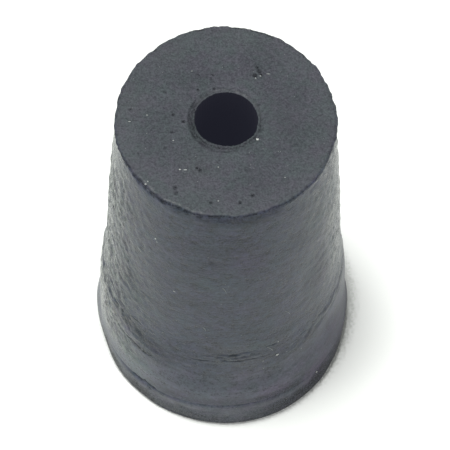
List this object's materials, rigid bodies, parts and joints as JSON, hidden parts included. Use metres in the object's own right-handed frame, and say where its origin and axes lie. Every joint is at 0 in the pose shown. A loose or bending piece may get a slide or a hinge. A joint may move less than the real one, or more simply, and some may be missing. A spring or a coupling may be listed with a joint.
{
  "type": "rubber stopper",
  "caption": "Tapered laboratory stopper of black rubber with one hole along its axis, a ground flank, and a moulded lip round the wide end on which it stands.",
  "frame": {"origin": "centre of the wide end face, on which the stopper stands", "axes": "+Z along the hole, from the wide end up to the narrow end; the round body has no fixed front, and -Y is the side with the torn grinding lines"},
  "size_m": [0.017, 0.017, 0.025],
  "materials": {
    "rubber": "dull black moulded rubber, ground matt on the taper"
  },
  "bodies": {
    "root": {"stopper": "rubber"}
  },
  "joints": []
}
